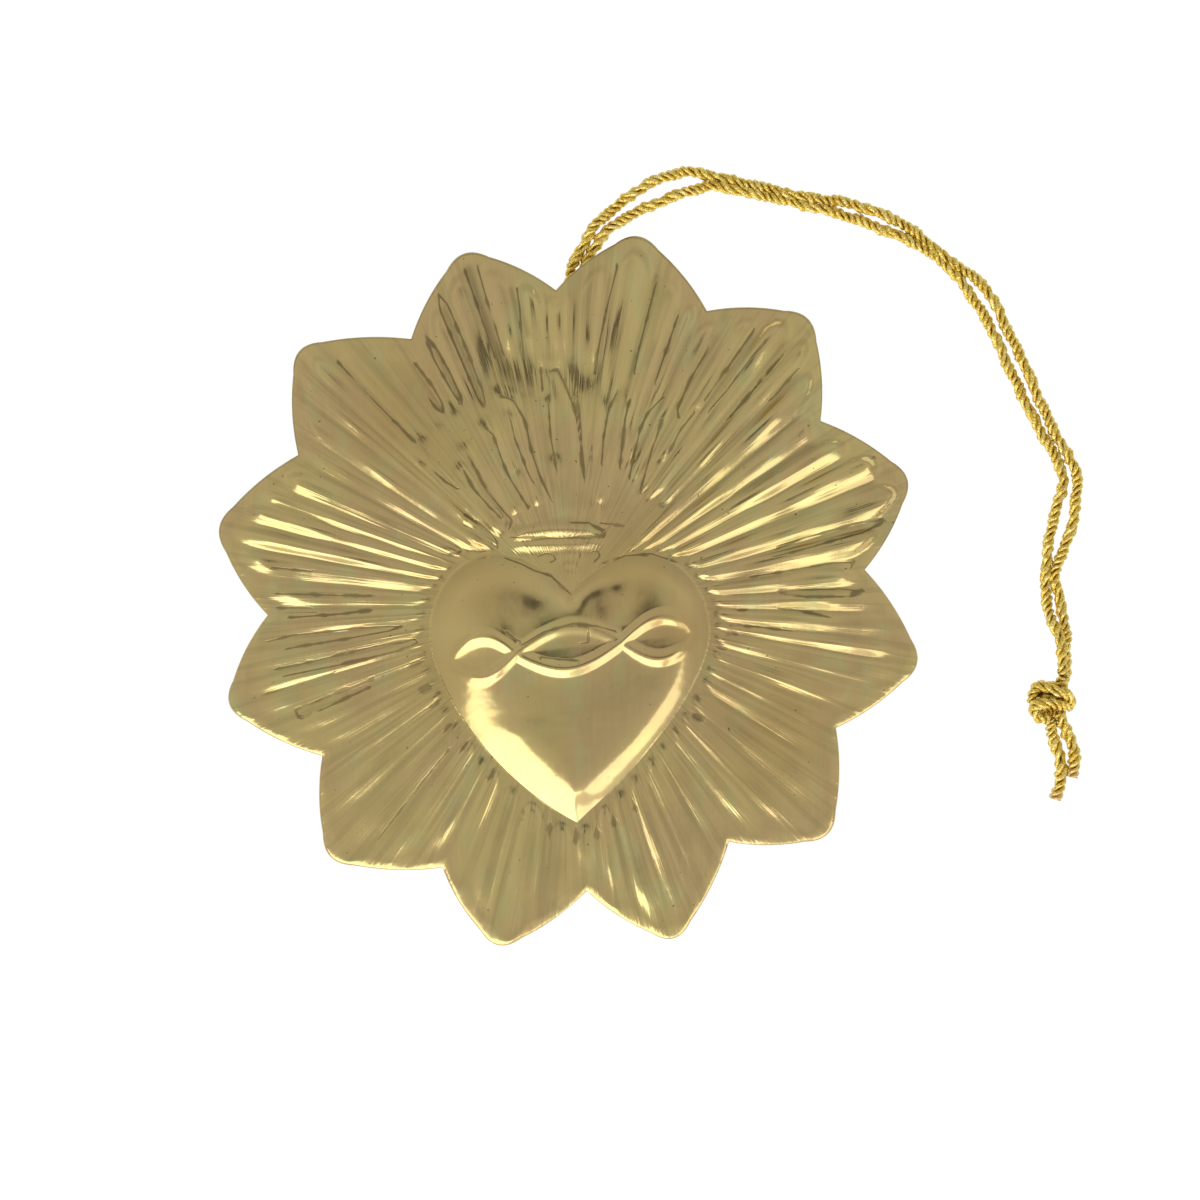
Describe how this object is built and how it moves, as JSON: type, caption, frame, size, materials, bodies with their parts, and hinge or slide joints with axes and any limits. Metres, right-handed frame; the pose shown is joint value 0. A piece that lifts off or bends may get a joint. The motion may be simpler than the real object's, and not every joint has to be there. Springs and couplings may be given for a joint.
{
  "type": "ex-voto heart",
  "caption": "Pressed brass sunburst ornament with a raised flaming heart and braided band, hung by a knotted gold cord through a wire staple soldered behind its top notch.",
  "frame": {"origin": "middle of the plate's outline, on the surface that the ornament lies or hangs against", "axes": "+Z out of the front of the plate, +Y towards the top notch that the cord leaves by, +X to the right seen from the front"},
  "size_m": [0.1237, 0.1115, 0.0088],
  "materials": {
    "pressed_brass": "worn, lightly tarnished, chased lines",
    "brass_wire": "drawn",
    "solder": "dull",
    "gold_cord": "twisted metallic yarn"
  },
  "bodies": {
    "plate": {"pressed_plate": "pressed_brass", "hanging_staple": "brass_wire", "solder_bead_upper": "solder", "solder_bead_lower": "solder"},
    "cord": {"cord_bight": "gold_cord", "cord_outer_strand": "gold_cord", "cord_inner_strand": "gold_cord", "cord_knot": "gold_cord", "cord_outer_tail": "gold_cord", "cord_inner_tail": "gold_cord"}
  },
  "joints": [
    {"name": "cord_swing", "type": "hinge", "parent": "plate", "child": "cord", "pos_m": [0.0018, 0.0388, 0.00215], "axis": [0, 0, 1], "range_deg": [-8, 45]}
  ]
}
